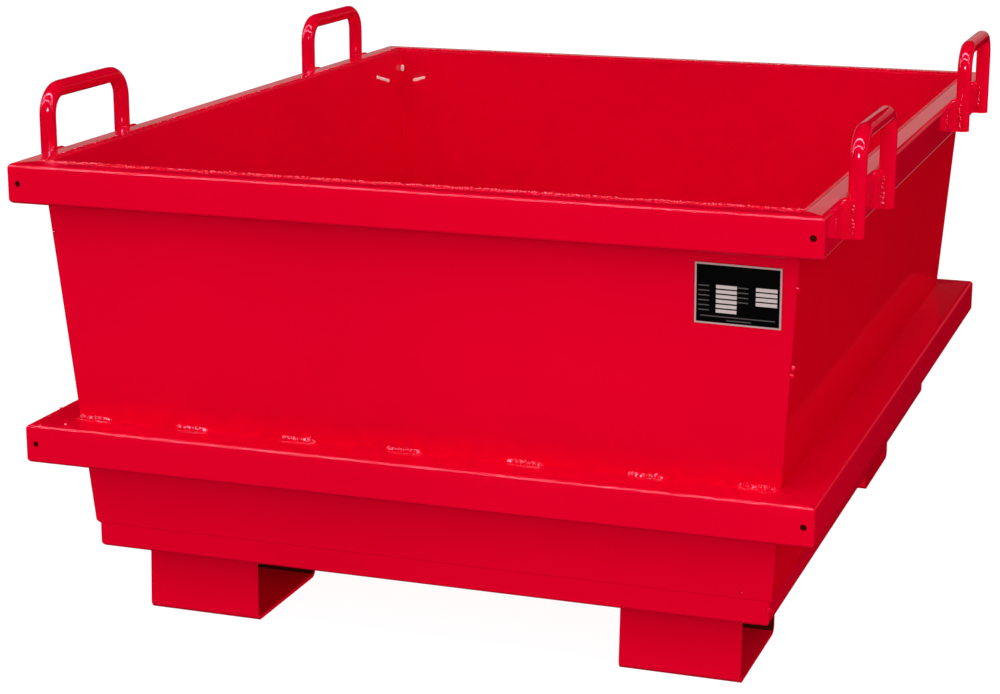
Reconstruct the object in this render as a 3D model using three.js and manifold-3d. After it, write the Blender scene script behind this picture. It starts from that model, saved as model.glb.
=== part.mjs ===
// A stackable open container of welded sheet steel: a tapered tub with a flanged floor pan, a rim of
// hollow section round its mouth, a stacking collar lower down that rests on the rim of the container
// below, four stirrups for fork tines and four lifting eyes of bent round bar.
// Millimetres, X to the right, Y to the back, Z up. The origin is the middle of the footprint, on the
// ground. Nothing on it moves: every piece is welded or bonded to its neighbours.
import * as THREE from "three";
import { mergeVertices } from "three/addons/utils/BufferGeometryUtils.js";
import Module from "manifold-3d";

// Tub
const RIM_WIDTH = 1010; // outside of the rim, along X
const RIM_DEPTH = 1250; // outside of the rim, along Y
const RIM_TOP = 607; // height of the rim's top face
const SIDE_LEAN = 30.7; // how far the left and right walls lean out from their foot to the rim's top
const END_LEAN = 41.7; // the same for the front and rear walls
const WALL_FOOT = 136; // height of the walls' lower edge
const WALL_TOP_DROP = 3; // the walls end this far under the rim's top face
const SHEET = 4; // thickness of the walls and of the floor pan
const FIT_GAP = 0.3; // clearance between pieces that are welded together

// Hollow sections of the rim and the collar
const SECTION_HEIGHT = 50;
const RIM_SECTION_WIDTH = 30;
const COLLAR_SECTION_WIDTH = 50;
const SECTION_WALL = 3;
const SECTION_CORNER = 6; // outer corner radius
const COLLAR_TOP = 273; // height of the collar's top face
const VENT_RADIUS = 4; // hole that lets the section breathe and drain
const VENT_INSET = 13; // from the corner of the frame to the hole

// Floor pan
const PAN_BOTTOM = 97; // ground clearance, which is also the height of the stirrups
const PAN_HEIGHT = 60; // from its underside to the top of its flange
const PAN_BEND = 7; // outer bend radius

// Fork stirrups
const STIRRUP_PLATE = 5;
const POCKET_WIDTH = 177; // clear width for a fork tine, along Y
const STIRRUP_LENGTH = 153; // along X, the way the tine slides
const STIRRUP_BEND = 11; // outer bend radius
const STIRRUP_SIDE_INSET = 124; // from the walls' foot to the centre of a stirrup, along X
const STIRRUP_END_INSET = 146; // the same along Y

// Lifting eyes
const BAR = 21; // diameter of the bent round bar
const EYE_SPAN = 194; // between the centres of its legs
const EYE_HEIGHT = 82; // from the rim's top face to the top of the bar
const EYE_BEND = 31; // bend radius to the middle of the bar
const EYE_FOOT_RISE = 4; // from the rim's underside up to the cut ends of the bar
const EYE_INSET = 218; // from the corner of the rim to the centre of an eye

// Data plate on the front wall
const PLATE_WIDTH = 100;
const PLATE_HEIGHT = 70;
const PLATE_THICKNESS = 1;
const PLATE_INSET = 17; // from the edge of the wall to the plate
const PLATE_DROP = 16; // from the rim's underside to the plate

// Weld beads
const RIM_BEAD_HEIGHT = 2.6;
const PAN_FILLET = 4;

// Faceting
const BEND_STEPS = 6;
const BAR_SIDES = 16;
const ROUND_SIDES = 20;
const CUT_OVERRUN = 1;

// Outline of the bead along the rim, across it in thicknesses of the sheet, up it in heights of the bead
const RIM_BEAD_SECTION_SHARES = [[0, 0], [1, 0], [1, 0.4], [0.6, 0.85], [0.1, 1], [-0.3, 0.8]];

const RED_PAINT = { color: 0xc8001e, roughness: 0.25, metalness: 0 };
const PLATE_INK = { color: 0x111111, roughness: 0.4, metalness: 0.2 };

// The four sides of the tub, counter-clockwise from the front. A side is modelled as the front is, with
// its length along X and its outside towards -Y, and is then turned about Z by quarter turns.
const SIDES = [
  { name: "front", turns: 0, length: "width" },
  { name: "right", turns: 1, length: "depth" },
  { name: "rear", turns: 2, length: "width" },
  { name: "left", turns: 3, length: "depth" },
];

const wasm = await Module();
wasm.setup();

// Half length of a side and distance of its outside from the middle, for a rectangle of width by depth
function sideSizes(side, width, depth) {
  return side.length === "width"
    ? { half: width / 2, out: depth / 2 }
    : { half: depth / 2, out: width / 2 };
}

// The outside of the walls at a height, as a width and a depth: the rim's opening at the top, less the
// lean below it
function tubSizeAt(z) {
  const dropShare = (RIM_TOP - z) / (RIM_TOP - WALL_FOOT);
  return {
    width: RIM_WIDTH - 2 * (RIM_SECTION_WIDTH + FIT_GAP + SIDE_LEAN * dropShare),
    depth: RIM_DEPTH - 2 * (RIM_SECTION_WIDTH + FIT_GAP + END_LEAN * dropShare),
  };
}

// How far a wall leans out for each millimetre of height
function wallSlope(side) {
  const lean = side.length === "width" ? END_LEAN : SIDE_LEAN;
  return lean / (RIM_TOP - WALL_FOOT);
}

// Thickness of a leaning wall measured level
function levelThickness(side) {
  return SHEET * Math.hypot(1, wallSlope(side));
}

// A closed body through rings of points. Each ring runs counter-clockwise seen from the next one.
function loft(rings) {
  const points = rings.flat();
  const count = rings[0].length;
  const faces = [];
  for (let ring = 0; ring < rings.length - 1; ring++) {
    for (let i = 0; i < count; i++) {
      const a = ring * count + i;
      const b = ring * count + ((i + 1) % count);
      faces.push(a, b, b + count, a, b + count, a + count);
    }
  }
  const last = (rings.length - 1) * count;
  for (let i = 1; i < count - 1; i++) {
    faces.push(0, i + 1, i);
    faces.push(last, last + i, last + i + 1);
  }
  const geometry = new THREE.BufferGeometry().setFromPoints(points);
  geometry.setIndex(faces);
  return geometry;
}

// Turns a section drawn as (inwards, up) and extruded along z into a bar along X, with z = 0 of the
// extrusion at the left end
const SECTION_TO_SIDE = new THREE.Matrix4().makeBasis(
  new THREE.Vector3(0, 1, 0),
  new THREE.Vector3(0, 0, 1),
  new THREE.Vector3(1, 0, 0),
);

// A bar of one side of a rectangular frame, mitred at both ends. The section's x is the distance inwards
// from the frame's outside, so each end is cut back by that distance.
function mitredBar(section, half, out) {
  const length = 2 * (half - FIT_GAP);
  const geometry = new THREE.ExtrudeGeometry(section, {
    depth: length,
    steps: 1,
    bevelEnabled: false,
    curveSegments: BEND_STEPS,
  });
  const position = geometry.getAttribute("position");
  for (let i = 0; i < position.count; i++) {
    const inwards = position.getX(i);
    const atStart = position.getZ(i) < length / 2;
    position.setZ(i, atStart ? inwards : length - inwards);
  }
  geometry.applyMatrix4(SECTION_TO_SIDE);
  geometry.translate(-length / 2, -out, 0);
  return geometry;
}

function roundedRectangle(path, x, y, width, height, radius) {
  const right = x + width;
  const top = y + height;
  path.moveTo(x + radius, y);
  path.absarc(right - radius, y + radius, radius, -Math.PI / 2, 0, false);
  path.absarc(right - radius, top - radius, radius, 0, Math.PI / 2, false);
  path.absarc(x + radius, top - radius, radius, Math.PI / 2, Math.PI, false);
  path.absarc(x + radius, y + radius, radius, Math.PI, 1.5 * Math.PI, false);
  path.closePath();
  return path;
}

// Hollow rectangular section, its outside at x = 0 and its top at the given height
function hollowSection(width, top) {
  const bottom = top - SECTION_HEIGHT;
  const outline = roundedRectangle(new THREE.Shape(), 0, bottom, width, SECTION_HEIGHT, SECTION_CORNER);
  const bore = roundedRectangle(
    new THREE.Path(),
    SECTION_WALL,
    bottom + SECTION_WALL,
    width - 2 * SECTION_WALL,
    SECTION_HEIGHT - 2 * SECTION_WALL,
    SECTION_CORNER - SECTION_WALL,
  );
  outline.holes.push(bore);
  return outline;
}

function toSolid(geometry) {
  const bare = geometry.index ? geometry.toNonIndexed() : geometry.clone();
  for (const name of Object.keys(bare.attributes)) {
    if (name !== "position") bare.deleteAttribute(name);
  }
  const merged = mergeVertices(bare);
  return new wasm.Manifold(
    new wasm.Mesh({
      numProp: 3,
      vertProperties: new Float32Array(merged.attributes.position.array),
      triVerts: new Uint32Array(merged.index.array),
    }),
  );
}

function toGeometry(solid) {
  const mesh = solid.getMesh();
  const geometry = new THREE.BufferGeometry();
  geometry.setAttribute("position", new THREE.BufferAttribute(mesh.vertProperties, 3));
  geometry.setIndex(new THREE.BufferAttribute(mesh.triVerts, 1));
  return geometry;
}

// Two vent holes through the outer face of a frame's front or rear bar, one near each corner
function drillVents(bar, half, out, top) {
  let solid = toSolid(bar);
  for (const end of [-1, 1]) {
    const drill = new THREE.CylinderGeometry(
      VENT_RADIUS,
      VENT_RADIUS,
      SECTION_WALL + 2 * CUT_OVERRUN,
      ROUND_SIDES,
    );
    drill.translate(end * (half - VENT_INSET), -out + SECTION_WALL / 2, top - SECTION_HEIGHT / 2);
    solid = solid.subtract(toSolid(drill));
  }
  return toGeometry(solid);
}

// A frame of four mitred bars of hollow section round the tub. The bars are the rim or the collar.
function frameBar(side, width, depth, sectionWidth, top) {
  const { half, out } = sideSizes(side, width, depth);
  const bar = mitredBar(hollowSection(sectionWidth, top), half, out);
  return side.length === "width" ? drillVents(bar, half, out, top) : bar;
}

// The collar hugs the walls at the height of its top face
function collarSize() {
  const tub = tubSizeAt(COLLAR_TOP);
  const ledge = 2 * (COLLAR_SECTION_WIDTH + FIT_GAP);
  return { width: tub.width + ledge, depth: tub.depth + ledge };
}

// A leaning wall of sheet, mitred against its neighbours from its lower edge to just under the rim's top
function wall(side) {
  const neighbour = SIDES[(side.turns + 1) % SIDES.length];
  const ringAt = (z) => {
    const size = tubSizeAt(z);
    const { half, out } = sideSizes(side, size.width, size.depth);
    const outer = half - FIT_GAP;
    const inner = outer - levelThickness(neighbour);
    const back = out - levelThickness(side);
    return [
      new THREE.Vector3(-outer, -out, z),
      new THREE.Vector3(outer, -out, z),
      new THREE.Vector3(inner, -back, z),
      new THREE.Vector3(-inner, -back, z),
    ];
  };
  return loft([ringAt(WALL_FOOT), ringAt(RIM_TOP - WALL_TOP_DROP)]);
}

// The floor pan: a folded tray whose flange stands inside the walls' lower edges. Its profile runs from the
// middle of the underside, out and up round the bend, over the flange and back down to the floor.
function floorPan() {
  const foot = tubSizeAt(WALL_FOOT);
  const halfX = foot.width / 2 - levelThickness(SIDES[1]) - FIT_GAP;
  const halfY = foot.depth / 2 - levelThickness(SIDES[0]) - FIT_GAP;
  const profile = [];
  for (let step = 0; step <= BEND_STEPS; step++) {
    const angle = (step / BEND_STEPS) * (Math.PI / 2);
    profile.push([PAN_BEND * (1 - Math.sin(angle)), PAN_BEND * (1 - Math.cos(angle))]);
  }
  profile.push([0, PAN_HEIGHT], [SHEET, PAN_HEIGHT]);
  for (let step = BEND_STEPS; step >= 0; step--) {
    const angle = (step / BEND_STEPS) * (Math.PI / 2);
    const inner = PAN_BEND - SHEET;
    profile.push([PAN_BEND - inner * Math.sin(angle), PAN_BEND - inner * Math.cos(angle)]);
  }
  return loft(
    profile.map(([inset, rise]) => {
      const x = halfX - inset;
      const y = halfY - inset;
      const z = PAN_BOTTOM + rise;
      return [
        new THREE.Vector3(-x, -y, z),
        new THREE.Vector3(x, -y, z),
        new THREE.Vector3(x, y, z),
        new THREE.Vector3(-x, y, z),
      ];
    }),
  );
}

// The bead that joins a wall's top edge to the rounded inner corner of the rim
function rimBead(side) {
  const { half, out } = sideSizes(side, RIM_WIDTH, RIM_DEPTH);
  const thickness = levelThickness(side);
  const bottom = RIM_TOP - WALL_TOP_DROP + FIT_GAP;
  const section = new THREE.Shape(
    RIM_BEAD_SECTION_SHARES.map(
      ([across, up]) =>
        new THREE.Vector2(RIM_SECTION_WIDTH + FIT_GAP + across * thickness, bottom + up * RIM_BEAD_HEIGHT),
    ),
  );
  return mitredBar(section, half, out);
}

// The fillet under a wall's lower edge, which joins it to the pan and shows as a bevelled step
function panFillet(side) {
  const foot = tubSizeAt(WALL_FOOT);
  const { half, out } = sideSizes(side, foot.width, foot.depth);
  const thickness = levelThickness(side);
  const top = WALL_FOOT - FIT_GAP;
  const section = new THREE.Shape([
    new THREE.Vector2(thickness, top),
    new THREE.Vector2(0, top),
    new THREE.Vector2(thickness, top - PAN_FILLET),
  ]);
  return mitredBar(section, half, out);
}

// A stirrup: flat bar bent to a U, open to the left and right for a fork tine, welded under the pan
function forkStirrup() {
  const half = POCKET_WIDTH / 2 + STIRRUP_PLATE;
  const top = PAN_BOTTOM - FIT_GAP;
  const inner = half - STIRRUP_PLATE;
  const innerBend = STIRRUP_BEND - STIRRUP_PLATE;
  const centre = half - STIRRUP_BEND;
  const section = new THREE.Shape();
  section.moveTo(-half, top);
  section.absarc(-centre, STIRRUP_BEND, STIRRUP_BEND, Math.PI, 1.5 * Math.PI, false);
  section.absarc(centre, STIRRUP_BEND, STIRRUP_BEND, 1.5 * Math.PI, 2 * Math.PI, false);
  section.lineTo(half, top);
  section.lineTo(inner, top);
  section.absarc(centre, STIRRUP_BEND, innerBend, 0, -Math.PI / 2, true);
  section.absarc(-centre, STIRRUP_BEND, innerBend, -Math.PI / 2, -Math.PI, true);
  section.lineTo(-inner, top);
  section.closePath();
  const geometry = new THREE.ExtrudeGeometry(section, {
    depth: STIRRUP_LENGTH,
    steps: 1,
    bevelEnabled: false,
    curveSegments: BEND_STEPS,
  });
  geometry.applyMatrix4(SECTION_TO_SIDE);
  geometry.translate(-STIRRUP_LENGTH / 2, 0, 0);
  return geometry;
}

// The middle line of an eye in the YZ plane, as points with the way the bar runs there
function eyeRoute() {
  const halfSpan = EYE_SPAN / 2;
  const foot = RIM_TOP - SECTION_HEIGHT + EYE_FOOT_RISE;
  const crown = RIM_TOP + EYE_HEIGHT - BAR / 2;
  const route = [{ y: -halfSpan, z: foot, angle: Math.PI / 2 }];
  for (const end of [-1, 1]) {
    for (let step = 0; step <= BEND_STEPS; step++) {
      const turned = (step / BEND_STEPS) * (Math.PI / 2);
      const angle = end < 0 ? Math.PI / 2 - turned : -turned;
      route.push({
        y: end * (halfSpan - EYE_BEND) - EYE_BEND * Math.sin(angle),
        z: crown - EYE_BEND + EYE_BEND * Math.cos(angle),
        angle,
      });
    }
  }
  route.push({ y: halfSpan, z: foot, angle: -Math.PI / 2 });
  return route;
}

// A lifting eye: round bar bent twice, standing in the YZ plane
function liftingEye() {
  const rings = eyeRoute().map(({ y, z, angle }) => {
    const ring = [];
    for (let side = 0; side < BAR_SIDES; side++) {
      const around = (side / BAR_SIDES) * 2 * Math.PI;
      const across = (BAR / 2) * Math.cos(around);
      const aside = (BAR / 2) * Math.sin(around);
      ring.push(new THREE.Vector3(across, y + aside * Math.sin(angle), z - aside * Math.cos(angle)));
    }
    return ring;
  });
  return loft(rings);
}

const container = new THREE.Group();
const paint = new THREE.MeshStandardMaterial(RED_PAINT);
const ink = new THREE.MeshStandardMaterial(PLATE_INK);

function addPiece(parent, name, geometry, material = paint) {
  const mesh = new THREE.Mesh(geometry, material);
  mesh.name = name;
  parent.add(mesh);
  return mesh;
}

addPiece(container, "floor_pan", floorPan());

// The walls, rim, collar and long welds, side by side round the tub
for (const side of SIDES) {
  const group = new THREE.Group();
  group.rotation.z = side.turns * (Math.PI / 2);
  container.add(group);
  const collar = collarSize();
  addPiece(group, `wall_${side.name}`, wall(side));
  addPiece(group, `rim_${side.name}`, frameBar(side, RIM_WIDTH, RIM_DEPTH, RIM_SECTION_WIDTH, RIM_TOP));
  addPiece(
    group,
    `collar_${side.name}`,
    frameBar(side, collar.width, collar.depth, COLLAR_SECTION_WIDTH, COLLAR_TOP),
  );
  addPiece(group, `weld_rim_${side.name}`, rimBead(side));
  addPiece(group, `weld_pan_${side.name}`, panFillet(side));
}

// Stirrups under the pan and eyes on the outer faces of the left and right rim bars
const tubFoot = tubSizeAt(WALL_FOOT);
for (const [endName, end] of [["front", -1], ["rear", 1]]) {
  for (const [sideName, across] of [["left", -1], ["right", 1]]) {
    const stirrup = addPiece(container, `fork_stirrup_${endName}_${sideName}`, forkStirrup());
    stirrup.position.x = across * (tubFoot.width / 2 - STIRRUP_SIDE_INSET);
    stirrup.position.y = end * (tubFoot.depth / 2 - STIRRUP_END_INSET);
    const eye = addPiece(container, `lifting_eye_${endName}_${sideName}`, liftingEye());
    eye.position.x = across * (RIM_WIDTH / 2 + FIT_GAP + BAR / 2);
    eye.position.y = end * (RIM_DEPTH / 2 - EYE_INSET);
  }
}

// The data plate lies flat on the leaning front wall, in its upper right corner
const plateLean = Math.atan(wallSlope(SIDES[0]));
const plateOff = FIT_GAP + PLATE_THICKNESS / 2;
const plateZ = RIM_TOP - SECTION_HEIGHT - PLATE_DROP - PLATE_HEIGHT / 2;
const plateWall = tubSizeAt(plateZ);
const plate = addPiece(
  container,
  "data_plate",
  new THREE.BoxGeometry(PLATE_WIDTH, PLATE_THICKNESS, PLATE_HEIGHT),
  ink,
);
plate.rotation.x = plateLean;
plate.position.set(
  plateWall.width / 2 - PLATE_INSET - PLATE_WIDTH / 2,
  -plateWall.depth / 2 - plateOff * Math.cos(plateLean),
  plateZ - plateOff * Math.sin(plateLean),
);

export default container;
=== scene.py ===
import math

import bmesh
import bpy
from mathutils import Matrix, Vector, noise


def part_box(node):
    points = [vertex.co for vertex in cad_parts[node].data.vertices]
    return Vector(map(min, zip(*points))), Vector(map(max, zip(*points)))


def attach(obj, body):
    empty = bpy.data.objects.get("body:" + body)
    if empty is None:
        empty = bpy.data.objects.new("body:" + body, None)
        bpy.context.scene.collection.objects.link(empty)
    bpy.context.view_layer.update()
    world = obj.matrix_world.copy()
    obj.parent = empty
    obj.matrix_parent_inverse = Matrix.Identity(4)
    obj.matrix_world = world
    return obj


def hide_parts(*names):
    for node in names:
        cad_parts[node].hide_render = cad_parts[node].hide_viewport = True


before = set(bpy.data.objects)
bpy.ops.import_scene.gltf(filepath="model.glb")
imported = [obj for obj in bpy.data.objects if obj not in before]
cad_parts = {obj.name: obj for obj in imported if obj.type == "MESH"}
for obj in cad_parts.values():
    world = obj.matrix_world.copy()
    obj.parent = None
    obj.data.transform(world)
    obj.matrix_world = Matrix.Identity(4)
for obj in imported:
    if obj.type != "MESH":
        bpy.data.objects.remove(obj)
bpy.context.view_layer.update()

# The four walls of the tub: flat 4 mm steel sheet leaning outwards, welded edge to edge and sprayed
# with red enamel, glossy but duller on the right. Faces that look down and the right wall are painted
# darker, as shade.
ENAMEL_RED = (0.75, 0.0, 0.0200, 1.0)
ENAMEL_SHEEN_TINT = (1.0, 0.42, 0.66, 1.0)
ENAMEL_IOR = 1.42
ENAMEL_SHINE = 0.5
NOISE_LOW, NOISE_HIGH = 0.3, 0.7
PEEL_SIZE, PEEL_DETAIL = 260.0, 2.0
PEEL_DEPTH = 0.000008
TONE_SIZE, TONE_DETAIL = 2.2, 3.0
TONE_LOW, TONE_HIGH = 0.94, 1.02
HAZE_SIZE, HAZE_DETAIL = 11.0, 6.0
HAZE_SPREAD = 0.015
RIPPLE_DETAIL = 1.0
# Painted shade: faces that look down are painted darker, fully below the first value and not at all above
# the second.
SHADE_FULL_BELOW, SHADE_NONE_ABOVE = -0.8, -0.25
WALL_RIPPLE_SIZE = 5.0
WALL_RIPPLE_DEPTH = 0.0003
WALL_GLOSS = 0.06
# How dark the painted shade on faces that look down goes, for the walls and the floor pan.
WALL_UNDERSIDE_SHADE = 0.55
# The right wall's red is darker than the rest: painted shade for the side that gets less light.
RIGHT_WALL_SHADE_RED = (0.62, 0.0, 0.0090, 1.0)
DULL_GLOSS = 0.08
DULL_SHINE = 0.03
SIDES = ("front", "right", "rear", "left")


def link(tree, source, output, target, socket):
    tree.links.new(source.outputs[output], target.inputs[socket])


def noise_node(tree, coordinates, size, detail):
    node = tree.nodes.new("ShaderNodeTexNoise")
    node.inputs["Scale"].default_value = size
    node.inputs["Detail"].default_value = detail
    link(tree, coordinates, "Object", node, "Vector")
    return node


def noise_range(tree, source, low, high):
    node = tree.nodes.new("ShaderNodeMapRange")
    node.inputs["From Min"].default_value = NOISE_LOW
    node.inputs["From Max"].default_value = NOISE_HIGH
    node.inputs["To Min"].default_value = low
    node.inputs["To Max"].default_value = high
    link(tree, source, "Fac", node, "Value")
    return node


def group_math(tree, operation, first, first_output, second):
    node = tree.nodes.new("ShaderNodeMath")
    node.operation = operation
    link(tree, first, first_output, node, 0)
    link(tree, second, "Result", node, 1)
    return node


def sprayed_enamel_group():
    tree = bpy.data.node_groups.new("sprayed_enamel", "ShaderNodeTree")
    tree.interface.new_socket(name="Paint", in_out="INPUT", socket_type="NodeSocketColor")
    for name in ("Gloss", "Ripple Size", "Ripple Depth", "Peel Depth", "Underside Shade"):
        tree.interface.new_socket(name=name, in_out="INPUT", socket_type="NodeSocketFloat")
    tree.interface.new_socket(name="Paint", in_out="OUTPUT", socket_type="NodeSocketColor")
    tree.interface.new_socket(name="Roughness", in_out="OUTPUT", socket_type="NodeSocketFloat")
    tree.interface.new_socket(name="Normal", in_out="OUTPUT", socket_type="NodeSocketVector")
    given = tree.nodes.new("NodeGroupInput")
    result = tree.nodes.new("NodeGroupOutput")
    place = tree.nodes.new("ShaderNodeTexCoord")

    tone = noise_range(tree, noise_node(tree, place, TONE_SIZE, TONE_DETAIL), TONE_LOW, TONE_HIGH)
    facing = tree.nodes.new("ShaderNodeSeparateXYZ")
    link(tree, place, "Normal", facing, "Vector")
    # Painted shade: the paint darkens on faces that look down, down to the given underside share.
    downward_shade = tree.nodes.new("ShaderNodeMapRange")
    downward_shade.inputs["From Min"].default_value = SHADE_FULL_BELOW
    downward_shade.inputs["From Max"].default_value = SHADE_NONE_ABOVE
    link(tree, given, "Underside Shade", downward_shade, "To Min")
    link(tree, facing, "Z", downward_shade, "Value")
    coat = group_math(tree, "MULTIPLY", tone, "Result", downward_shade)
    tint = tree.nodes.new("ShaderNodeVectorMath")
    tint.operation = "SCALE"
    link(tree, given, "Paint", tint, "Vector")
    link(tree, coat, "Value", tint, "Scale")
    link(tree, tint, "Vector", result, "Paint")

    haze = noise_range(tree, noise_node(tree, place, HAZE_SIZE, HAZE_DETAIL), -HAZE_SPREAD, HAZE_SPREAD)
    link(tree, group_math(tree, "ADD", given, "Gloss", haze), "Value", result, "Roughness")

    ripple = noise_node(tree, place, WALL_RIPPLE_SIZE, RIPPLE_DETAIL)
    link(tree, given, "Ripple Size", ripple, "Scale")
    ripple_bump = tree.nodes.new("ShaderNodeBump")
    link(tree, given, "Ripple Depth", ripple_bump, "Distance")
    link(tree, ripple, "Fac", ripple_bump, "Height")
    peel = noise_node(tree, place, PEEL_SIZE, PEEL_DETAIL)
    peel_bump = tree.nodes.new("ShaderNodeBump")
    link(tree, given, "Peel Depth", peel_bump, "Distance")
    link(tree, peel, "Fac", peel_bump, "Height")
    link(tree, ripple_bump, "Normal", peel_bump, "Normal")
    link(tree, peel_bump, "Normal", result, "Normal")
    return tree


enamel_effect = sprayed_enamel_group()


def enamel(name, gloss, ripple_size, ripple_depth, underside_shade=1.0, colour=ENAMEL_RED, shine=ENAMEL_SHINE):
    material = bpy.data.materials.new(name)
    material.use_nodes = True
    tree = material.node_tree
    shader = tree.nodes["Principled BSDF"]
    shader.inputs["Base Color"].default_value = colour
    shader.inputs["Roughness"].default_value = gloss
    shader.inputs["IOR"].default_value = ENAMEL_IOR
    shader.inputs["Specular Tint"].default_value = ENAMEL_SHEEN_TINT
    shader.inputs["Specular IOR Level"].default_value = shine
    effect = tree.nodes.new("ShaderNodeGroup")
    effect.node_tree = enamel_effect
    effect.inputs["Paint"].default_value = colour
    effect.inputs["Gloss"].default_value = gloss
    effect.inputs["Ripple Size"].default_value = ripple_size
    effect.inputs["Ripple Depth"].default_value = ripple_depth
    effect.inputs["Peel Depth"].default_value = PEEL_DEPTH
    effect.inputs["Underside Shade"].default_value = underside_shade
    link(tree, effect, "Paint", shader, "Base Color")
    link(tree, effect, "Roughness", shader, "Roughness")
    link(tree, effect, "Normal", shader, "Normal")
    return material


wall_ripple = (WALL_RIPPLE_SIZE, WALL_RIPPLE_DEPTH)
sheet_enamel = enamel("sheet_enamel", WALL_GLOSS, *wall_ripple, WALL_UNDERSIDE_SHADE)
shaded_dull_enamel = enamel("shaded_dull_enamel", DULL_GLOSS, *wall_ripple, colour=RIGHT_WALL_SHADE_RED, shine=DULL_SHINE)
for side in SIDES:
    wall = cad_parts["wall_" + side]
    wall.data.materials.clear()
    wall.data.materials.append(shaded_dull_enamel if side == "right" else sheet_enamel)

# The floor pan: one sheet folded up on all four sides into a shallow tray. Its flange stands inside the
# walls' lower edges, and its bottom bend is the rounded lower edge of the tub.
SMOOTH_BELOW = math.radians(32)
MERGE_DISTANCE = 0.000002
FLAT_ANGLE = math.radians(0.2)


def merged_copy(node):
    bm = bmesh.new()
    bm.from_mesh(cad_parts[node].data)
    bmesh.ops.remove_doubles(bm, verts=bm.verts, dist=MERGE_DISTANCE)
    bmesh.ops.dissolve_limit(bm, angle_limit=FLAT_ANGLE, verts=bm.verts, edges=bm.edges)
    return bm


def add_piece(bm, name, materials, *replaced):
    """Makes the finished piece: flat faces stay flat, and round ones are shaded smooth."""
    bmesh.ops.recalc_face_normals(bm, faces=bm.faces)
    for edge in bm.edges:
        edge.smooth = edge.is_manifold and edge.calc_face_angle(0) < SMOOTH_BELOW
    for face in bm.faces:
        face.smooth = True
    mesh = bpy.data.meshes.new(name)
    bm.to_mesh(mesh)
    bm.free()
    for material in materials:
        mesh.materials.append(material)
    piece = bpy.data.objects.new(name, mesh)
    bpy.context.scene.collection.objects.link(piece)
    normals = piece.modifiers.new("flat_faces_stay_flat", "WEIGHTED_NORMAL")
    normals.keep_sharp = True
    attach(piece, "root")
    if replaced:
        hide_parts(*replaced)
    return piece


add_piece(merged_copy("floor_pan"), "floor_pan_tray", [sheet_enamel], "floor_pan")

# The rim: four bars of 50 x 30 hollow section, mitred, welded and ground at the corners. It stands round
# the walls' top edges. Its front bar sits slightly rolled, so that its top face leans forwards, and its
# front and rear bars have a vent hole near each end, closed behind by a near-black disc of painted shade.
BAR_RIPPLE_SIZE = 12.0
BAR_RIPPLE_DEPTH = 0.00014
BAR_GLOSS = 0.06
# The bars' faces that look down, such as their bottom bends, are painted darker as shade.
BAR_UNDERSIDE_SHADE = 0.5
RIM_DEPTH_OF_BAR = 0.030
RIM_ROLL_DROP = 0.0012
RIM_ROLL_REACH = 0.017
# Near-black paint that stands for deep shade, behind the vent holes and inside the fork stirrups.
DEEP_SHADE_COLOUR = (0.060, 0.008, 0.001, 1)
VENT_DISC_RADIUS = 0.0052
VENT_DISC_FLATNESS = 0.1
VENT_DISC_DEPTH = 0.0042
VENT_DISC_SEGMENTS = 16
VENT_INSET = 0.013
OUTWARDS = {
    "front": Vector((0, -1, 0)),
    "right": Vector((1, 0, 0)),
    "rear": Vector((0, 1, 0)),
    "left": Vector((-1, 0, 0)),
}

bar_enamel = enamel("bar_enamel", BAR_GLOSS, BAR_RIPPLE_SIZE, BAR_RIPPLE_DEPTH, BAR_UNDERSIDE_SHADE)
deep_shade_paint = bpy.data.materials.new("painted_deep_shade")
deep_shade_paint.use_nodes = True
deep_shade_shader = deep_shade_paint.node_tree.nodes["Principled BSDF"]
deep_shade_shader.inputs["Base Color"].default_value = DEEP_SHADE_COLOUR
deep_shade_shader.inputs["Specular IOR Level"].default_value = 0.0
rim_low, rim_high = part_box("rim_front")
rim_half = Vector((rim_high.x, -rim_low.y, 0))
rim_top = rim_high.z


def standing_on(outwards):
    """The turn that points a shape's Z axis outwards."""
    return outwards.to_track_quat("Z", "Y").to_matrix().to_4x4()


def add_vent_backs(bm, half, height, outwards):
    """Thin near-black discs just inside the bar behind its two vent holes: painted shade for the dark inside
    of the bar.
    """
    flat = Matrix.Diagonal((1, 1, VENT_DISC_FLATNESS, 1))
    for end in (-1, 1):
        place = Vector((end * (half.x - VENT_INSET), outwards.y * (half.y - VENT_DISC_DEPTH), height))
        disc = bmesh.ops.create_uvsphere(
            bm,
            u_segments=VENT_DISC_SEGMENTS,
            v_segments=VENT_DISC_SEGMENTS // 2,
            radius=VENT_DISC_RADIUS,
            matrix=Matrix.Translation(place) @ standing_on(outwards) @ flat,
        )
        for face in {face for vert in disc["verts"] for face in vert.link_faces}:
            face.material_index = 1


for side in SIDES:
    bm = merged_copy("rim_" + side)
    if side in ("front", "rear"):
        add_vent_backs(bm, rim_half, (rim_low.z + rim_high.z) / 2, OUTWARDS[side])
    if side == "front":
        for vert in bm.verts:
            raised = max(0.0, (vert.co.z - rim_top + RIM_ROLL_REACH) / RIM_ROLL_REACH)
            forwards = (RIM_DEPTH_OF_BAR - rim_half.y - vert.co.y) / RIM_DEPTH_OF_BAR
            vert.co.z -= RIM_ROLL_DROP * raised * forwards
    add_piece(bm, "rim_bar_" + side, [bar_enamel, deep_shade_paint], "rim_" + side)

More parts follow.
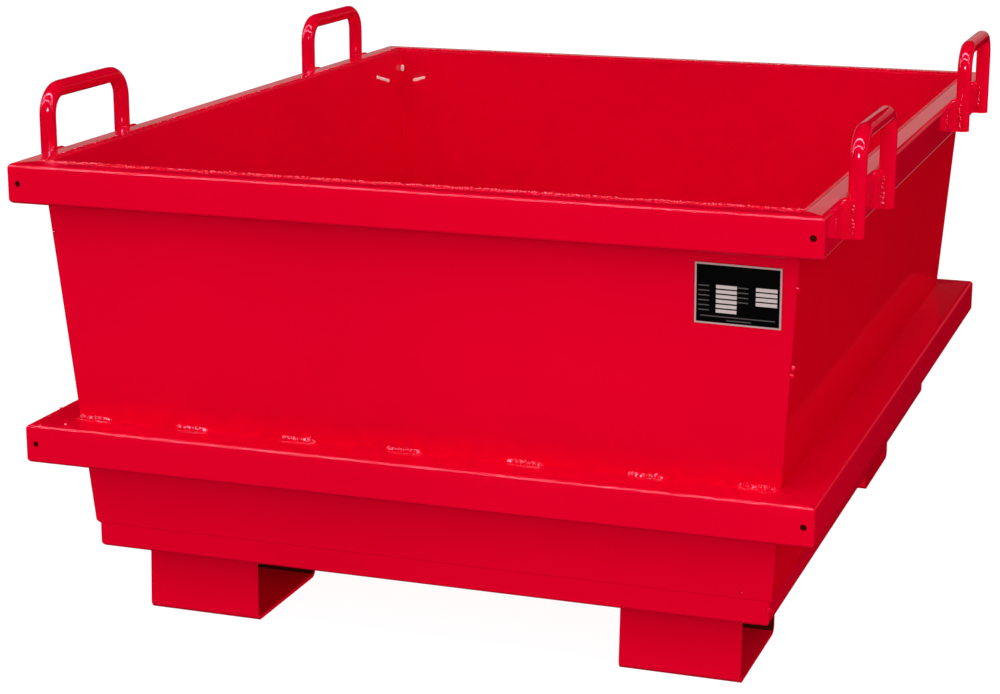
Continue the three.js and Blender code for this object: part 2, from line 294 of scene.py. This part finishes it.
# The weld along the rim: a hand-laid bead that joins the walls' top edges to the inner corner of the
# rim all the way round. It is lumpy, with drops of spatter on it, and painted over with the rest.
UP = Vector((0, 0, 1))
ROUND_SIDES = 12
BEAD_SLICE = 0.0024
BEAD_LEAST_SLICES = 36
BEAD_LUMP_LENGTH = 0.009
BEAD_LUMP_SKEW = 0.35
BEAD_FINE_LUMPS, BEAD_FINE_SHARE = 2.3, 0.5
BEAD_RIDGE_PITCH = 0.0036
BEAD_RIDGE_SKEW = 0.4
BEAD_TIP_LENGTH = 1.4
BEAD_TIP_SHARE = 0.2
BEAD_SEED_STEP = 3.7
DOME_TILTS = (-0.6, 0.0, 0.35, 0.7, 1.05, 1.35)
SPECKLE_SEED = 1
SPECKLE_STEP = 1.7
SPECKLE_SEED_STEP = 3.1
SPECKLE_STRAY_SHARE = 0.5
SPECKLE_UNEVEN_SHARE = 0.6
SPECKLE_HEIGHT_SHARE = 0.9
WELD_RIPPLE_SIZE = 70.0
WELD_RIPPLE_DEPTH = 0.00015
WELD_GLOSS = 0.07
WELD_SHINE = 1.0
BEAD_GLOSS = 0.3
RIM_BEAD = (0.0064, 0.0028)
RIM_BEAD_INSET = 0.0275
RIM_BEAD_DROP = {"front": 0.0026, "right": 0.0042, "rear": 0.0044, "left": 0.0036}
RIM_BEAD_LUMPS = {"front": 0.20, "right": 0.10, "rear": 0.25, "left": 0.12}
RIM_BEAD_RIDGE_SHARE = 1 / 6
RIM_SPECKLES = {"front": (0.0030, 0.0020), "rear": (0.0075, 0.0016), "left": (0.0080, 0.0014)}
RIM_SPECKLE_SPREAD = 0.0046
RIM_SPECKLE_RISE = 0.0003
RIM_SPATTER = (
    ((0.4990, -0.6226, 0.5976), 0.0044, 0.0022),
    ((0.5020, -0.6230, 0.6025), 0.0026, 0.0017),
)


def oval(half_width, half_height):
    turns = [2 * math.pi * index / ROUND_SIDES for index in range(ROUND_SIDES)]
    return [(half_width * math.cos(turn), half_height * math.sin(turn)) for turn in turns]


def add_bead(bm, outline, start, end, across, lump_share, ridge_share, seed, tip_share=BEAD_TIP_SHARE):
    """A weld from start to end, swollen in lumps and ridges. Its outline's first axis runs across."""
    along = (end - start).normalized()
    length = (end - start).length
    slices = max(BEAD_LEAST_SLICES, round(length / BEAD_SLICE))
    reach = max(abs(x) for x, y in outline)
    before = set(bm.verts)
    loop = [bm.verts.new((x, y, 0)) for x, y in outline]
    face = bm.faces.new(loop)
    bmesh.ops.spin(
        bm,
        geom=loop + list(face.edges) + [face],
        cent=Vector(),
        axis=UP,
        dvec=UP * (length / slices),
        angle=0,
        steps=slices,
        use_merge=False,
    )
    made = [vert for vert in bm.verts if vert not in before]
    for vert in made:
        from_tip = max(0.0, min(vert.co.z, length - vert.co.z))
        tip = min(1.0, from_tip / (BEAD_TIP_LENGTH * reach))
        taper = max(tip_share, math.sqrt(1 - (1 - tip) ** 2))
        aside = vert.co.x / reach
        spot = Vector((vert.co.z / BEAD_LUMP_LENGTH, seed * BEAD_SEED_STEP, BEAD_LUMP_SKEW * aside))
        lump = noise.noise(spot) + BEAD_FINE_SHARE * noise.noise(spot * BEAD_FINE_LUMPS)
        ridge = math.sin(2 * math.pi * (vert.co.z / BEAD_RIDGE_PITCH + BEAD_RIDGE_SKEW * abs(aside)))
        size = taper * (1 + lump_share * lump + ridge_share * ridge)
        vert.co.x *= size
        vert.co.y *= size
    place = Matrix((across, along.cross(across).normalized(), along)).transposed().to_4x4()
    place.translation = start
    bmesh.ops.transform(bm, matrix=place, verts=made)


def add_drop(bm, place, radius, height, outwards):
    """A low dome of weld spatter that stands on a face."""
    size = Matrix.Diagonal((radius, radius, height, 1))
    matrix = Matrix.Translation(place) @ standing_on(outwards) @ size
    rings = []
    for tilt in DOME_TILTS:
        circle = oval(math.cos(tilt), math.cos(tilt))
        rings.append([bm.verts.new(matrix @ Vector((x, y, math.sin(tilt)))) for x, y in circle])
    for lower, upper in zip(rings, rings[1:]):
        for index in range(ROUND_SIDES):
            bm.faces.new((lower[index - 1], lower[index], upper[index], upper[index - 1]))
    bm.faces.new(rings[-1])
    bm.faces.new(list(reversed(rings[0])))


def add_speckles(bm, start, end, across, spread, pitch, radius, outwards, seed):
    """Small drops of weld metal from start to end, scattered across the row and uneven in size."""
    count = round((end - start).length / pitch)
    for index in range(count):
        chance = noise.noise_vector(Vector((index * SPECKLE_STEP, seed * SPECKLE_SEED_STEP, 0)))
        share = (index + 0.5 + SPECKLE_STRAY_SHARE * chance.x) / count
        place = start.lerp(end, share) + across * spread * chance.y
        size = radius * (1 + SPECKLE_UNEVEN_SHARE * chance.z)
        add_drop(bm, place, size, SPECKLE_HEIGHT_SHARE * size, outwards)


def side_line(side, half, inset, height):
    """The two ends of a line along one side of a rectangle of that half size, at that inset and height."""
    out = OUTWARDS[side]
    along = UP.cross(out)
    middle = out * (abs(half.dot(out)) - inset) + UP * height
    reach = along * (abs(half.dot(along)) - inset)
    return middle - reach, middle + reach


# Without a seed the scattered drops would lie elsewhere in every run.
noise.seed_set(SPECKLE_SEED)
bead_enamel = enamel("bead_enamel", BEAD_GLOSS, *wall_ripple)
weld_enamel = enamel("weld_enamel", WELD_GLOSS, WELD_RIPPLE_SIZE, WELD_RIPPLE_DEPTH, shine=WELD_SHINE)
for seed, side in enumerate(SIDES, 1):
    bm = bmesh.new()
    start, end = side_line(side, rim_half, RIM_BEAD_INSET, rim_top - RIM_BEAD_DROP[side])
    lumps = RIM_BEAD_LUMPS[side]
    ridges = lumps * RIM_BEAD_RIDGE_SHARE
    add_bead(bm, oval(*RIM_BEAD), start, end, OUTWARDS[side], lumps, ridges, seed)
    for place, radius, height in RIM_SPATTER if side == "front" else ():
        add_drop(bm, Vector(place), radius, height, OUTWARDS["front"])
    add_piece(bm, "rim_bead_" + side, [bead_enamel], "weld_rim_" + side)
for seed, side in enumerate(RIM_SPECKLES, 1):
    bm = bmesh.new()
    pitch, radius = RIM_SPECKLES[side]
    start, end = side_line(side, rim_half, RIM_BEAD_INSET, rim_top + RIM_SPECKLE_RISE)
    add_speckles(bm, start, end, OUTWARDS[side], RIM_SPECKLE_SPREAD, pitch, radius, UP, seed)
    add_piece(bm, "rim_speckles_" + side, [weld_enamel])

# The welds down the four inner corners of the tub, where the walls meet: small smooth fillets from the
# floor pan up to the rim, sprayed over like the walls.
CORNER_WELD_RADIUS = 0.002
CORNER_FOOT = Vector((0.4416, 0.5511, 0.160))
CORNER_HEAD = Vector((0.4704, 0.5904, 0.602))
CORNERS = ((1, -1), (1, 1), (-1, 1), (-1, -1))

bm = bmesh.new()
for x, y in CORNERS:
    corner = Vector((x, y, 1))
    foot, head = CORNER_FOOT * corner, CORNER_HEAD * corner
    across = (head - foot).cross(OUTWARDS["front"]).normalized()
    add_bead(bm, oval(CORNER_WELD_RADIUS, CORNER_WELD_RADIUS), foot, head, across, 0.0, 0.0, 1, 1.0)
add_piece(bm, "wall_corner_welds", [sheet_enamel])

# Marks on the walls: drops of spatter that were sprayed over at the corners, and inside the tub three
# short pale streaks at the rear left corner, painted highlights for the glints of a lamp seen in the corner.
WALL_DROP = (0.0030, 0.0026)
WALL_SPATTER = (
    (0.4690, -0.5866, 0.5160),
    (0.4648, -0.5784, 0.4227),
    (0.4638, -0.5775, 0.4131),
    (-0.4644, -0.5897, 0.5505),
    (-0.4652, -0.5866, 0.5155),
)
GLINT_STREAK = (0.0025, 0.0007)
GLINT_STREAK_LUMPS = 0.4
GLINT_STREAK_ENDS = (
    ((-0.4683, 0.4784, 0.5731), (-0.4674, 0.5326, 0.5595), "right"),
    ((-0.4459, 0.5858, 0.5545), (-0.4240, 0.5864, 0.5610), "front"),
    ((-0.4650, 0.5864, 0.5805), (-0.4650, 0.5856, 0.5695), "front"),
)
# The streaks' pale colour is a painted highlight, standing for the glint of a lamp in the corner.
PAINTED_GLINT_COLOUR = (1.0, 0.84, 0.76, 1.0)

bm = bmesh.new()
for place in WALL_SPATTER:
    add_drop(bm, Vector(place), *WALL_DROP, OUTWARDS["front"])
add_piece(bm, "wall_spatter", [weld_enamel])
bm = bmesh.new()
for index, (start, end, facing) in enumerate(GLINT_STREAK_ENDS):
    start, end = Vector(start), Vector(end)
    across = (end - start).normalized().cross(OUTWARDS[facing]).normalized()
    add_bead(bm, oval(*GLINT_STREAK), start, end, across, GLINT_STREAK_LUMPS, 0.0, index)
add_piece(bm, "painted_glint_streaks", [enamel("painted_glint_enamel", WALL_GLOSS, *wall_ripple, colour=PAINTED_GLINT_COLOUR)])

# The fillet weld under the walls: it joins their lower edges to the flange of the floor pan. It was ground
# to a soft bevel all the way round and sprayed over, so it shows as a faint step; the bevel that looks down
# is painted a little darker, as shade.
FILLET_OUTLINE = (
    (0.0042, 0.1374),
    (0.0042, 0.1352),
    (0.0036, 0.1332),
    (0.0022, 0.1312),
    (0.0006, 0.1294),
    (-0.0008, 0.1282),
    (-0.0008, 0.1374),
)
FILLET_UNDERSIDE_SHADE = 0.89
FILLET_DROP = (0.0034, 0.0020)
FILLET_SPATTER = ((0.4070, -0.5530, 0.1377), (0.4400, -0.5487, 0.1198))

pan_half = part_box("floor_pan")[1]


def add_ring(bm, half, outline):
    """A closed ring round a rectangle of that half size. Its outline is given outwards and by height."""
    loops = []
    for out, height in outline:
        reach = half + Vector((out, out, 0))
        loops.append([bm.verts.new((x * reach.x, y * reach.y, height)) for x, y in CORNERS])
    for index, loop in enumerate(loops):
        following = loops[index - 1]
        for corner in range(len(CORNERS)):
            bm.faces.new((loop[corner - 1], loop[corner], following[corner], following[corner - 1]))


fillet_enamel = enamel("fillet_enamel", WALL_GLOSS, *wall_ripple, FILLET_UNDERSIDE_SHADE)
bm = bmesh.new()
add_ring(bm, pan_half, FILLET_OUTLINE)
for place in FILLET_SPATTER:
    add_drop(bm, Vector(place), *FILLET_DROP, OUTWARDS["front"])
add_piece(bm, "pan_fillet", [fillet_enamel], *("weld_pan_" + side for side in SIDES))

# The stacking collar: four bars of 50 x 50 hollow section, mitred and welded round the tub. It stands on
# the rim of the container below. A line of filler runs along its top face by the walls, and short stitch
# welds tie its front and rear bars to them.
COLLAR_DEPTH_OF_BAR = 0.050
# The right collar bar's red is a touch darker than the rest: painted shade for the side that gets less
# light.
RIGHT_COLLAR_SHADE_RED = (0.74, 0.0, 0.0195, 1.0)
QUIET_SHINE = 0.3
FILLER = ((-0.0012, 0.00002), (0.0060, 0.00002), (0.0060, 0.0040), (-0.0012, 0.0040))
STITCH = (0.0054, 0.0048)
STITCH_LUMPS = 0.38
STITCH_RIDGES = 0.19
STITCH_LENGTH = 0.048
STITCH_SEED_STEP = 10
STITCH_PLACES = (-0.430, -0.295, -0.151, -0.012, 0.142, 0.292, 0.425)
COLLAR_DROP = (0.0020, 0.0015)
COLLAR_SPATTER = (
    (-0.4550, -0.5990, 0.2730),
    (-0.4849, -0.6120, 0.2726),
    (-0.4936, -0.5715, 0.2730),
    (-0.4991, -0.5338, 0.2726),
)

quiet_shaded_enamel = enamel(
    "quiet_shaded_enamel", DULL_GLOSS, BAR_RIPPLE_SIZE, BAR_RIPPLE_DEPTH, BAR_UNDERSIDE_SHADE, RIGHT_COLLAR_SHADE_RED, QUIET_SHINE
)
collar_low, collar_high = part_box("collar_front")
collar_half = Vector((collar_high.x, -collar_low.y, 0))


def add_stitches(bm, start, end, across, seed):
    """The short lumpy welds along one bar."""
    along = (end - start).normalized()
    half = along * STITCH_LENGTH / 2
    for count, place in enumerate(STITCH_PLACES):
        middle = (start + end) / 2 + along * place
        ends = (middle - half, middle + half)
        add_bead(bm, oval(*STITCH), *ends, across, STITCH_LUMPS, STITCH_RIDGES, seed + count)


for index, side in enumerate(SIDES):
    bm = merged_copy("collar_" + side)
    if side in ("front", "rear"):
        add_vent_backs(bm, collar_half, (collar_low.z + collar_high.z) / 2, OUTWARDS[side])
    # The right bar takes the duller paint, painted a touch darker as shade.
    coat = quiet_shaded_enamel if side == "right" else bar_enamel
    add_piece(bm, "collar_bar_" + side, [coat, deep_shade_paint], "collar_" + side)
    start, end = side_line(side, collar_half, COLLAR_DEPTH_OF_BAR, collar_high.z)
    bm = bmesh.new()
    add_bead(bm, FILLER, start, end, OUTWARDS[side], 0.0, 0.0, index, 1.0)
    add_piece(bm, "collar_filler_" + side, [coat])
    if side in ("front", "rear"):
        bm = bmesh.new()
        add_stitches(bm, start, end, OUTWARDS[side], index * STITCH_SEED_STEP)
        add_piece(bm, "collar_stitches_" + side, [weld_enamel])
bm = bmesh.new()
for place in COLLAR_SPATTER:
    add_drop(bm, Vector(place), *COLLAR_DROP, UP)
add_piece(bm, "collar_spatter", [weld_enamel])

# The fork stirrups: flat bar bent to a U and welded under the floor, open to the left and right so that
# the tines of a forklift slide through. The inside of the leg nearer the middle is painted near black, as
# shade.
SHADED_FACING = 0.2
PLACES = (("front", "left"), ("front", "right"), ("rear", "left"), ("rear", "right"))

for end_name, side_name in PLACES:
    place = end_name + "_" + side_name
    node = "fork_stirrup_" + place
    low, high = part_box(node)
    middle = abs(low.y + high.y) / 2
    bm = merged_copy(node)
    # Painted shade: inside faces of the leg nearer the middle take the near-black paint.
    for face in bm.faces:
        faces_out = face.normal.dot(OUTWARDS[end_name]) > SHADED_FACING
        if faces_out and abs(face.calc_center_median().y) < middle:
            face.material_index = 1
    add_piece(bm, "stirrup_plate_" + place, [bar_enamel, deep_shade_paint], node)

# The lifting eyes: round bar bent twice and welded to the outer faces of the left and right rim bars.
# A broad weld fills the groove on both sides of each leg, and a flat one runs over the rim's edge behind it.
EYE_RIPPLE_SIZE = 45.0
EYE_RIPPLE_DEPTH = 0.00019
EYE_GLOSS = 0.012
EYE_FILL = (
    (0, -0.0010),
    (0.0165, -0.0010),
    (0.0154, 0.0014),
    (0.0134, 0.0036),
    (0.0118, 0.0062),
    (0.0102, 0.0094),
    (0.0070, 0.0105),
    (0, 0.0060),
)
EYE_FILL_LUMPS, EYE_FILL_RIDGES = 0.02, 0.008
EYE_FILL_DROP = 0.0010
EYE_FILL_FOOT = 0.0004
EYE_FILL_SEED, EYE_FILL_SEED_STEP = 5, 3
EYE_DROPS = (0.0042, 0.0019)
EYE_DROPS_OUT, EYE_DROPS_ASIDE, EYE_DROPS_DROP = 0.0098, 0.0118, 0.0050
EYE_DROPS_LENGTH = 0.037
EYE_DROPS_SPREAD = 0.0034
EYE_DROPS_SEED = 7
EYE_CAP = (0.0048, 0.0036)
EYE_CAP_LUMPS, EYE_CAP_RIDGES = 0.08, 0.02
EYE_CAP_INSET = 0.0012
EYE_CAP_DROP = 0.0022
EYE_CAP_REACH = 0.0160
EYE_CAP_SEED = 20

eye_enamel = enamel("eye_enamel", EYE_GLOSS, EYE_RIPPLE_SIZE, EYE_RIPPLE_DEPTH)


def add_eye_fill(bm, root, foot, out, count):
    """The broad welds in the grooves on both sides of a leg."""
    for aside in (-1, 1):
        outline = [(aside * x, y) for x, y in EYE_FILL]
        start = Vector((root.x, root.y, foot + EYE_FILL_FOOT))
        end = root - UP * EYE_FILL_DROP
        seed = EYE_FILL_SEED_STEP * count + aside + EYE_FILL_SEED
        add_bead(bm, outline, start, end, out.cross(UP), EYE_FILL_LUMPS, EYE_FILL_RIDGES, seed, 1.0)


def add_eye_drops(bm, root, out, seed):
    """A row of drops down each groove."""
    pitch, radius = EYE_DROPS
    for facing in (OUTWARDS["front"], OUTWARDS["rear"]):
        start = root + out * EYE_DROPS_OUT + facing * EYE_DROPS_ASIDE - UP * EYE_DROPS_DROP
        end = start - UP * EYE_DROPS_LENGTH
        corner = (facing + out).normalized()
        add_speckles(bm, start, end, corner.cross(UP), EYE_DROPS_SPREAD, pitch, radius, corner, seed)


def add_eye_cap(bm, root, out, seed):
    """The flat weld over the rim's edge behind a leg."""
    middle = root - out * EYE_CAP_INSET - UP * EYE_CAP_DROP
    half = Vector((0, EYE_CAP_REACH, 0))
    add_bead(bm, oval(*EYE_CAP), middle - half, middle + half, out, EYE_CAP_LUMPS, EYE_CAP_RIDGES, seed)


for end_name, side_name in PLACES:
    place = end_name + "_" + side_name
    node = "lifting_eye_" + place
    add_piece(merged_copy(node), "eye_bar_" + place, [eye_enamel], node)
    low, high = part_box(node)
    out = OUTWARDS[side_name]
    bar_radius = (high.x - low.x) / 2
    bm = bmesh.new()
    for count, leg in enumerate((low.y + bar_radius, high.y - bar_radius)):
        root = out * rim_half.x + Vector((0, leg, rim_top))
        add_eye_fill(bm, root, low.z, out, count)
        add_eye_drops(bm, root, out, EYE_DROPS_SEED + count)
        add_eye_cap(bm, root, out, EYE_CAP_SEED + count)
    add_piece(bm, "eye_welds_" + place, [weld_enamel])

# The data plate: thin aluminium sheet, printed black inside a bare border, with pale blank boxes and
# short dashes beside them. It is bonded to the upper right corner of the front wall, a little askew.
PRINT_LIFT = 0.00012
PRINT_SHINE = 0.1
PLATE_BORDER_SHARE = 0.021
PLATE_WIDTH_TO_HEIGHT = 1.4
PLATE_TILT = math.radians(0.85)
PLATE_DROP = 0.0030
PLATE_STRETCH = 1.028
BOX_SHARES = ((0.248, 0.488, 0.350, 0.080, 0.056, 6), (0.706, 0.952, 0.345, 0.080, 0.058, 4))
DASH_SHARES = (
    (0.045, 0.170, 0.365, 0.080, 0.018, 6),
    (0.495, 0.620, 0.362, 0.080, 0.018, 4),
    (0.070, 0.930, 0.862, 0.0, 0.016, 1),
    (0.370, 0.660, 0.918, 0.0, 0.016, 1),
)
PRINTS = {
    "bare_plate": ((0.46, 0.32, 0.31, 1), 0.4),
    "black_print": ((0.0008, 0.0005, 0.0005, 1), 0.35),
    "pale_print": ((0.56, 0.47, 0.46, 1), 0.5),
    "dim_print": ((0.09, 0.075, 0.075, 1), 0.5),
}
BLACK, PALE, DIM = 1, 2, 3


def print_material(name, colour, roughness):
    material = bpy.data.materials.new(name)
    material.use_nodes = True
    shader = material.node_tree.nodes["Principled BSDF"]
    shader.inputs["Base Color"].default_value = colour
    shader.inputs["Roughness"].default_value = roughness
    shader.inputs["Specular IOR Level"].default_value = PRINT_SHINE
    return material


bm = merged_copy("data_plate")
front_face = min(bm.faces, key=lambda face: face.normal.y)
normal = front_face.normal.copy()
right = OUTWARDS["right"]
down = right.cross(normal)
middle = front_face.calc_center_median()
half_width = max((vert.co - middle).dot(right) for vert in front_face.verts)
half_height = max((vert.co - middle).dot(down) for vert in front_face.verts)


def add_print(bm, left_share, right_share, top_share, bottom_share, layer, index):
    """A thin flat print on the plate's face, its place in shares of the plate's width and height."""
    across = (left_share + right_share - 1) * half_width
    below = (top_share + bottom_share - 1) * half_height
    width = (right_share - left_share) * half_width * 2
    height = (bottom_share - top_share) * half_height * 2
    matrix = Matrix((right, -normal, -down)).transposed().to_4x4()
    matrix.translation = middle + right * across + down * below + normal * PRINT_LIFT * (layer + 0.5)
    size = Matrix.Diagonal((width, PRINT_LIFT, height, 1))
    cube = bmesh.ops.create_cube(bm, size=1.0, matrix=matrix @ size)
    for face in {face for vert in cube["verts"] for face in vert.link_faces}:
        face.material_index = index


def add_rows(bm, shares, index):
    """Rows of like prints, one under the other."""
    left_share, right_share, top_share, pitch_share, height_share, count = shares
    for row in range(count):
        row_share = top_share + row * pitch_share
        add_print(bm, left_share, right_share, row_share, row_share + height_share, 1, index)


side_border = PLATE_BORDER_SHARE
top_border = PLATE_BORDER_SHARE * PLATE_WIDTH_TO_HEIGHT
add_print(bm, side_border, 1 - side_border, top_border, 1 - top_border, 0, BLACK)
for shares in BOX_SHARES:
    add_rows(bm, shares, PALE)
for shares in DASH_SHARES:
    add_rows(bm, shares, DIM)
askew = Matrix.Rotation(PLATE_TILT, 4, -normal) @ Matrix.Scale(PLATE_STRETCH, 4, down)
moved = Matrix.Translation(middle + down * PLATE_DROP) @ askew @ Matrix.Translation(-middle)
bmesh.ops.transform(bm, matrix=moved, verts=bm.verts)
inks = [print_material(name, *finish) for name, finish in PRINTS.items()]
plate = add_piece(bm, "data_plate_printed", inks, "data_plate")

# The studio: a pale floor that reaches past the picture, and a hall with a soft sky of light. What shows
# in the enamel is a bright band low behind the container, a dim one below it, two rows of high windows
# in front and a lamp beside the camera. A softbox lights the front, as seen from the photograph's place.
FLOOR_SIZE = 60.0
FLOOR_WHITE = (0.12, 0.12, 0.12, 1)
FLOOR_GLOW = 0.96
FLOOR_ROUGHNESS = 0.9
SKY_LOBES = (
    (-50.0, 40.0, 4.0, 1.30),
    (-100.0, 30.0, 4.0, 0.76),
    (100.0, 30.0, 4.0, 1.12),
    (0.0, -90.0, 1.0, 1.74),
    (60.0, 10.0, 4.0, 0.90),
    (110.0, -20.0, 4.0, 0.08),
    (0.0, 62.0, 6.0, 1.25),
)
WHITE = (1, 1, 1, 1)
GLOSS_TINT = (1.0, 0.93, 0.88, 1)
TINT_FIRST, TINT_SECOND, TINT_RESULT = 6, 7, 2
BAND_GLOW = 0.36
BAND_TOP = 11.4
BAND_EDGE = 0.5
BAND_FAR_SHARE = 0.3
BAND_FAR_SIDE = 0.25
ROW_GLOW = 38.0
ROW_SLOPES = (0.93, 0.34)
ROW_HALF_WIDTH = 0.048
ROW_LOWEST = 0.05
LOW_GLOW = 0.25
LOW_TOP, LOW_BOTTOM = -0.19, -0.285
LOW_SIDE = 0.05
LAMP_PLACE = Vector((1.15, -3.6, 1.52))
LAMP_SIZE = 0.8
LAMP_POWER = 130.0
SOFTBOX_PLACE = Vector((1.2, -3.2, 1.4))
SOFTBOX_SIZE = 0.8
SOFTBOX_POWER = 11.7
LAMPS_AIM = Vector((0, 0, 0.5))
CAMERA_PLACE = Vector((0.98717, -3.08226, 1.09452))
CAMERA_YAW = math.radians(19.1886)
CAMERA_PITCH = math.radians(14.3283)
CAMERA_ROLL = math.radians(0.0771)
CAMERA_LENS, CAMERA_SENSOR = 83.979, 36.0

bm = bmesh.new()
bmesh.ops.create_grid(bm, x_segments=1, y_segments=1, size=FLOOR_SIZE / 2)
floor_mesh = bpy.data.meshes.new("studio_floor")
bm.to_mesh(floor_mesh)
bm.free()
floor_paper = bpy.data.materials.new("floor_paper")
floor_paper.use_nodes = True
shader = floor_paper.node_tree.nodes["Principled BSDF"]
shader.inputs["Base Color"].default_value = FLOOR_WHITE
shader.inputs["Roughness"].default_value = FLOOR_ROUGHNESS
shader.inputs["Specular IOR Level"].default_value = 0.0
shader.inputs["Emission Color"].default_value = WHITE
shader.inputs["Emission Strength"].default_value = FLOOR_GLOW
floor_mesh.materials.append(floor_paper)
floor = bpy.data.objects.new("studio_floor", floor_mesh)
bpy.context.scene.collection.objects.link(floor)
floor.visible_glossy = False
floor.visible_diffuse = False

world = bpy.data.worlds.new("hall")
world.use_nodes = True
bpy.context.scene.world = world
hall = world.node_tree
direction = hall.nodes.new("ShaderNodeTexCoord")
split = hall.nodes.new("ShaderNodeSeparateXYZ")
link(hall, direction, "Generated", split, "Vector")


def hall_math(operation, first, second=0.0):
    node = hall.nodes.new("ShaderNodeMath")
    node.operation = operation
    for socket, value in zip(node.inputs, (first, second)):
        if isinstance(value, float):
            socket.default_value = value
        else:
            hall.links.new(value, socket)
    return node.outputs["Value"]


def hall_step(axis, start, end, first=0.0, last=1.0):
    """A value that goes smoothly from first to last as the direction passes from start to end."""
    node = hall.nodes.new("ShaderNodeMapRange")
    node.interpolation_type = "SMOOTHSTEP"
    for name, value in zip(("From Min", "From Max", "To Min", "To Max"), (start, end, first, last)):
        node.inputs[name].default_value = value
    link(hall, split, axis, node, "Value")
    return node.outputs["Result"]


def hall_product(*values):
    product = values[0]
    for value in values[1:]:
        product = hall_math("MULTIPLY", product, value)
    return product


sky = 0.0
for azimuth, elevation, sharpness, strength in SKY_LOBES:
    heading, height = math.radians(azimuth), math.radians(elevation)
    level = math.cos(height)
    towards = hall.nodes.new("ShaderNodeVectorMath")
    towards.operation = "DOT_PRODUCT"
    link(hall, direction, "Generated", towards, 0)
    middle = (level * math.sin(heading), -level * math.cos(heading), math.sin(height))
    towards.inputs[1].default_value = middle
    facing = hall_math("MAXIMUM", towards.outputs["Value"])
    sky = hall_math("ADD", hall_product(hall_math("POWER", facing, sharpness), strength), sky)

band_low, band_high = (math.sin(math.radians(BAND_TOP + edge)) for edge in (-BAND_EDGE, BAND_EDGE))
above = hall_math("GREATER_THAN", split.outputs["Z"])
behind = hall_math("GREATER_THAN", split.outputs["Y"])
band = hall_step("Z", band_high, band_low)
aside = hall_step("X", 0.0, BAND_FAR_SIDE, 1.0, BAND_FAR_SHARE)
glow = hall_product(band, BAND_GLOW, above, behind, aside)
slope = hall_math("DIVIDE", split.outputs["Y"], split.outputs["Z"])
overhead = hall_math("GREATER_THAN", split.outputs["Z"], ROW_LOWEST)
for row_slope in ROW_SLOPES:
    offset = hall_math("ABSOLUTE", hall_math("ADD", slope, row_slope))
    row = hall_math("LESS_THAN", offset, ROW_HALF_WIDTH)
    glow = hall_math("ADD", glow, hall_product(row, overhead, ROW_GLOW))
low = hall_product(
    hall_math("LESS_THAN", split.outputs["Z"], LOW_TOP),
    hall_math("GREATER_THAN", split.outputs["Z"], LOW_BOTTOM),
    hall_math("LESS_THAN", split.outputs["X"], LOW_SIDE),
    behind,
    LOW_GLOW,
)
glow = hall_math("ADD", glow, low)

path = hall.nodes.new("ShaderNodeLightPath")
background = hall.nodes["Background"]
brightness = hall.nodes.new("ShaderNodeMix")
link(hall, path, "Is Glossy Ray", brightness, "Factor")
hall.links.new(sky, brightness.inputs["A"])
hall.links.new(glow, brightness.inputs["B"])
link(hall, brightness, "Result", background, "Strength")
# A mix node's sockets for colours have the same names as those for numbers, so they go by their place.
tint = hall.nodes.new("ShaderNodeMix")
tint.data_type = "RGBA"
link(hall, path, "Is Glossy Ray", tint, "Factor")
tint.inputs[TINT_FIRST].default_value = WHITE
tint.inputs[TINT_SECOND].default_value = GLOSS_TINT
link(hall, tint, TINT_RESULT, background, "Color")


def lamp(name, place, shape, size, power, lights_up):
    """An area lamp that either lights things up or only shows in the enamel."""
    data = bpy.data.lights.new(name, "AREA")
    data.shape = shape
    data.size = size
    data.size_y = size
    data.energy = power
    light = bpy.data.objects.new(name, data)
    bpy.context.scene.collection.objects.link(light)
    light.location = place
    light.rotation_euler = (LAMPS_AIM - place).to_track_quat("-Z", "Y").to_euler()
    light.visible_diffuse = lights_up
    light.visible_glossy = not lights_up
    light.visible_camera = False


lamp("wide_lamp", LAMP_PLACE, "ELLIPSE", LAMP_SIZE, LAMP_POWER, False)
lamp("softbox", SOFTBOX_PLACE, "SQUARE", SOFTBOX_SIZE, SOFTBOX_POWER, True)

camera_data = bpy.data.cameras.new("camera")
camera_data.lens = CAMERA_LENS
camera_data.sensor_width = CAMERA_SENSOR
camera = bpy.data.objects.new("camera", camera_data)
bpy.context.scene.collection.objects.link(camera)
yaw = Matrix.Rotation(CAMERA_YAW, 3, "Z")
pitch = Matrix.Rotation(math.pi / 2 - CAMERA_PITCH, 3, "X")
roll = Matrix.Rotation(CAMERA_ROLL, 3, "Z")
camera.matrix_world = Matrix.LocRotScale(CAMERA_PLACE, yaw @ pitch @ roll, None)
bpy.context.scene.camera = camera
bpy.context.scene.view_settings.view_transform = "Standard"
